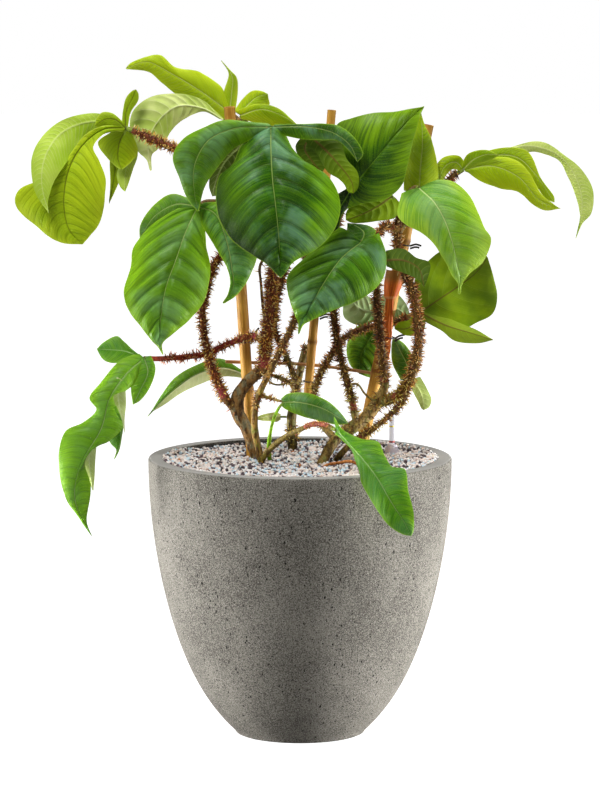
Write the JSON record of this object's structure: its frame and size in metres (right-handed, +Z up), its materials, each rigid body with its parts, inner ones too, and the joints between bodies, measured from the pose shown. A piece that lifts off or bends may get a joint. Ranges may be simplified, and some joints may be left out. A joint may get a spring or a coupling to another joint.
{
  "type": "potted philodendron squamiferum",
  "caption": "Potted philodendron squamiferum with bristly red-brown petioles and lobed green leaves, tied to bamboo canes in a rounded concrete-look planter.",
  "frame": {"origin": "centre of the planter's foot, on the surface it stands on", "axes": "+Z up along the planter's axis; -Y towards the side shown in the picture"},
  "size_m": [0.7565, 0.425, 0.8935],
  "materials": {
    "leaf_dark": "waxy dark green leaf blade with sunken veins",
    "leaf_mid": "waxy mid green leaf blade",
    "leaf_young": "satin yellow-green young leaf blade",
    "leaf_underside": "matte olive leaf underside",
    "bristly_stem": "matte olive-brown stem with dark red-brown bristles",
    "green_shoot": "satin pale green young shoot",
    "root": "matte orange-brown root",
    "planter": "matte grey concrete with fine pits and specks",
    "tub": "matte black plastic",
    "granules": "matte mixed mineral granules, cream, blue-white and plum",
    "bamboo": "satin dry bamboo",
    "twig": "matte dry stick",
    "dried_sheath": "satin orange-red dried leaf sheath",
    "wire": "black plastic-coated wire",
    "gauge_clear": "clear smoky tube",
    "gauge_float": "red indicator rod",
    "gauge_cap": "grey-mauve moulded cap"
  },
  "bodies": {
    "root": {"leaf_centre": "leaf_dark", "leaf_left": "leaf_dark", "leaf_middle": "leaf_dark", "leaf_upright": "leaf_dark", "leaf_back_low": "leaf_dark", "leaf_arching": "leaf_dark", "leaf_small": "leaf_dark", "leaf_right": "leaf_mid", "leaf_low_left": "leaf_mid", "leaf_front": "leaf_mid", "leaf_back_right": "leaf_mid", "leaf_yellow": "leaf_young", "leaf_crown_left": "leaf_young", "leaf_crown_lime": "leaf_young", "leaf_crown_right": "leaf_young", "leaf_far_right": "leaf_young", "leaf_behind_right": "leaf_underside", "leaf_olive": "leaf_underside", "leaf_under": "leaf_underside", "leaf_drooping": "leaf_underside", "leaf_crown_pale": "leaf_underside", "leaf_back_pale": "leaf_underside", "leaf_sliver": "leaf_underside", "stem_left": "bristly_stem", "stem_smooth": "bristly_stem", "stem_middle": "bristly_stem", "stem_right": "bristly_stem", "petiole_front": "bristly_stem", "shoot_young": "green_shoot", "root_orange": "root", "planter": "planter", "liner": "tub", "substrate": "granules", "cane_left": "bamboo", "cane_middle": "bamboo", "cane_right": "bamboo", "cross_stick": "twig", "dried_sheath": "dried_sheath", "tie_left": "wire", "tie_middle": "wire", "tie_small": "wire", "tie_low": "wire", "tie_high": "wire", "gauge_tube": "gauge_clear", "gauge_float": "gauge_float", "gauge_cap": "gauge_cap"}
  },
  "joints": []
}
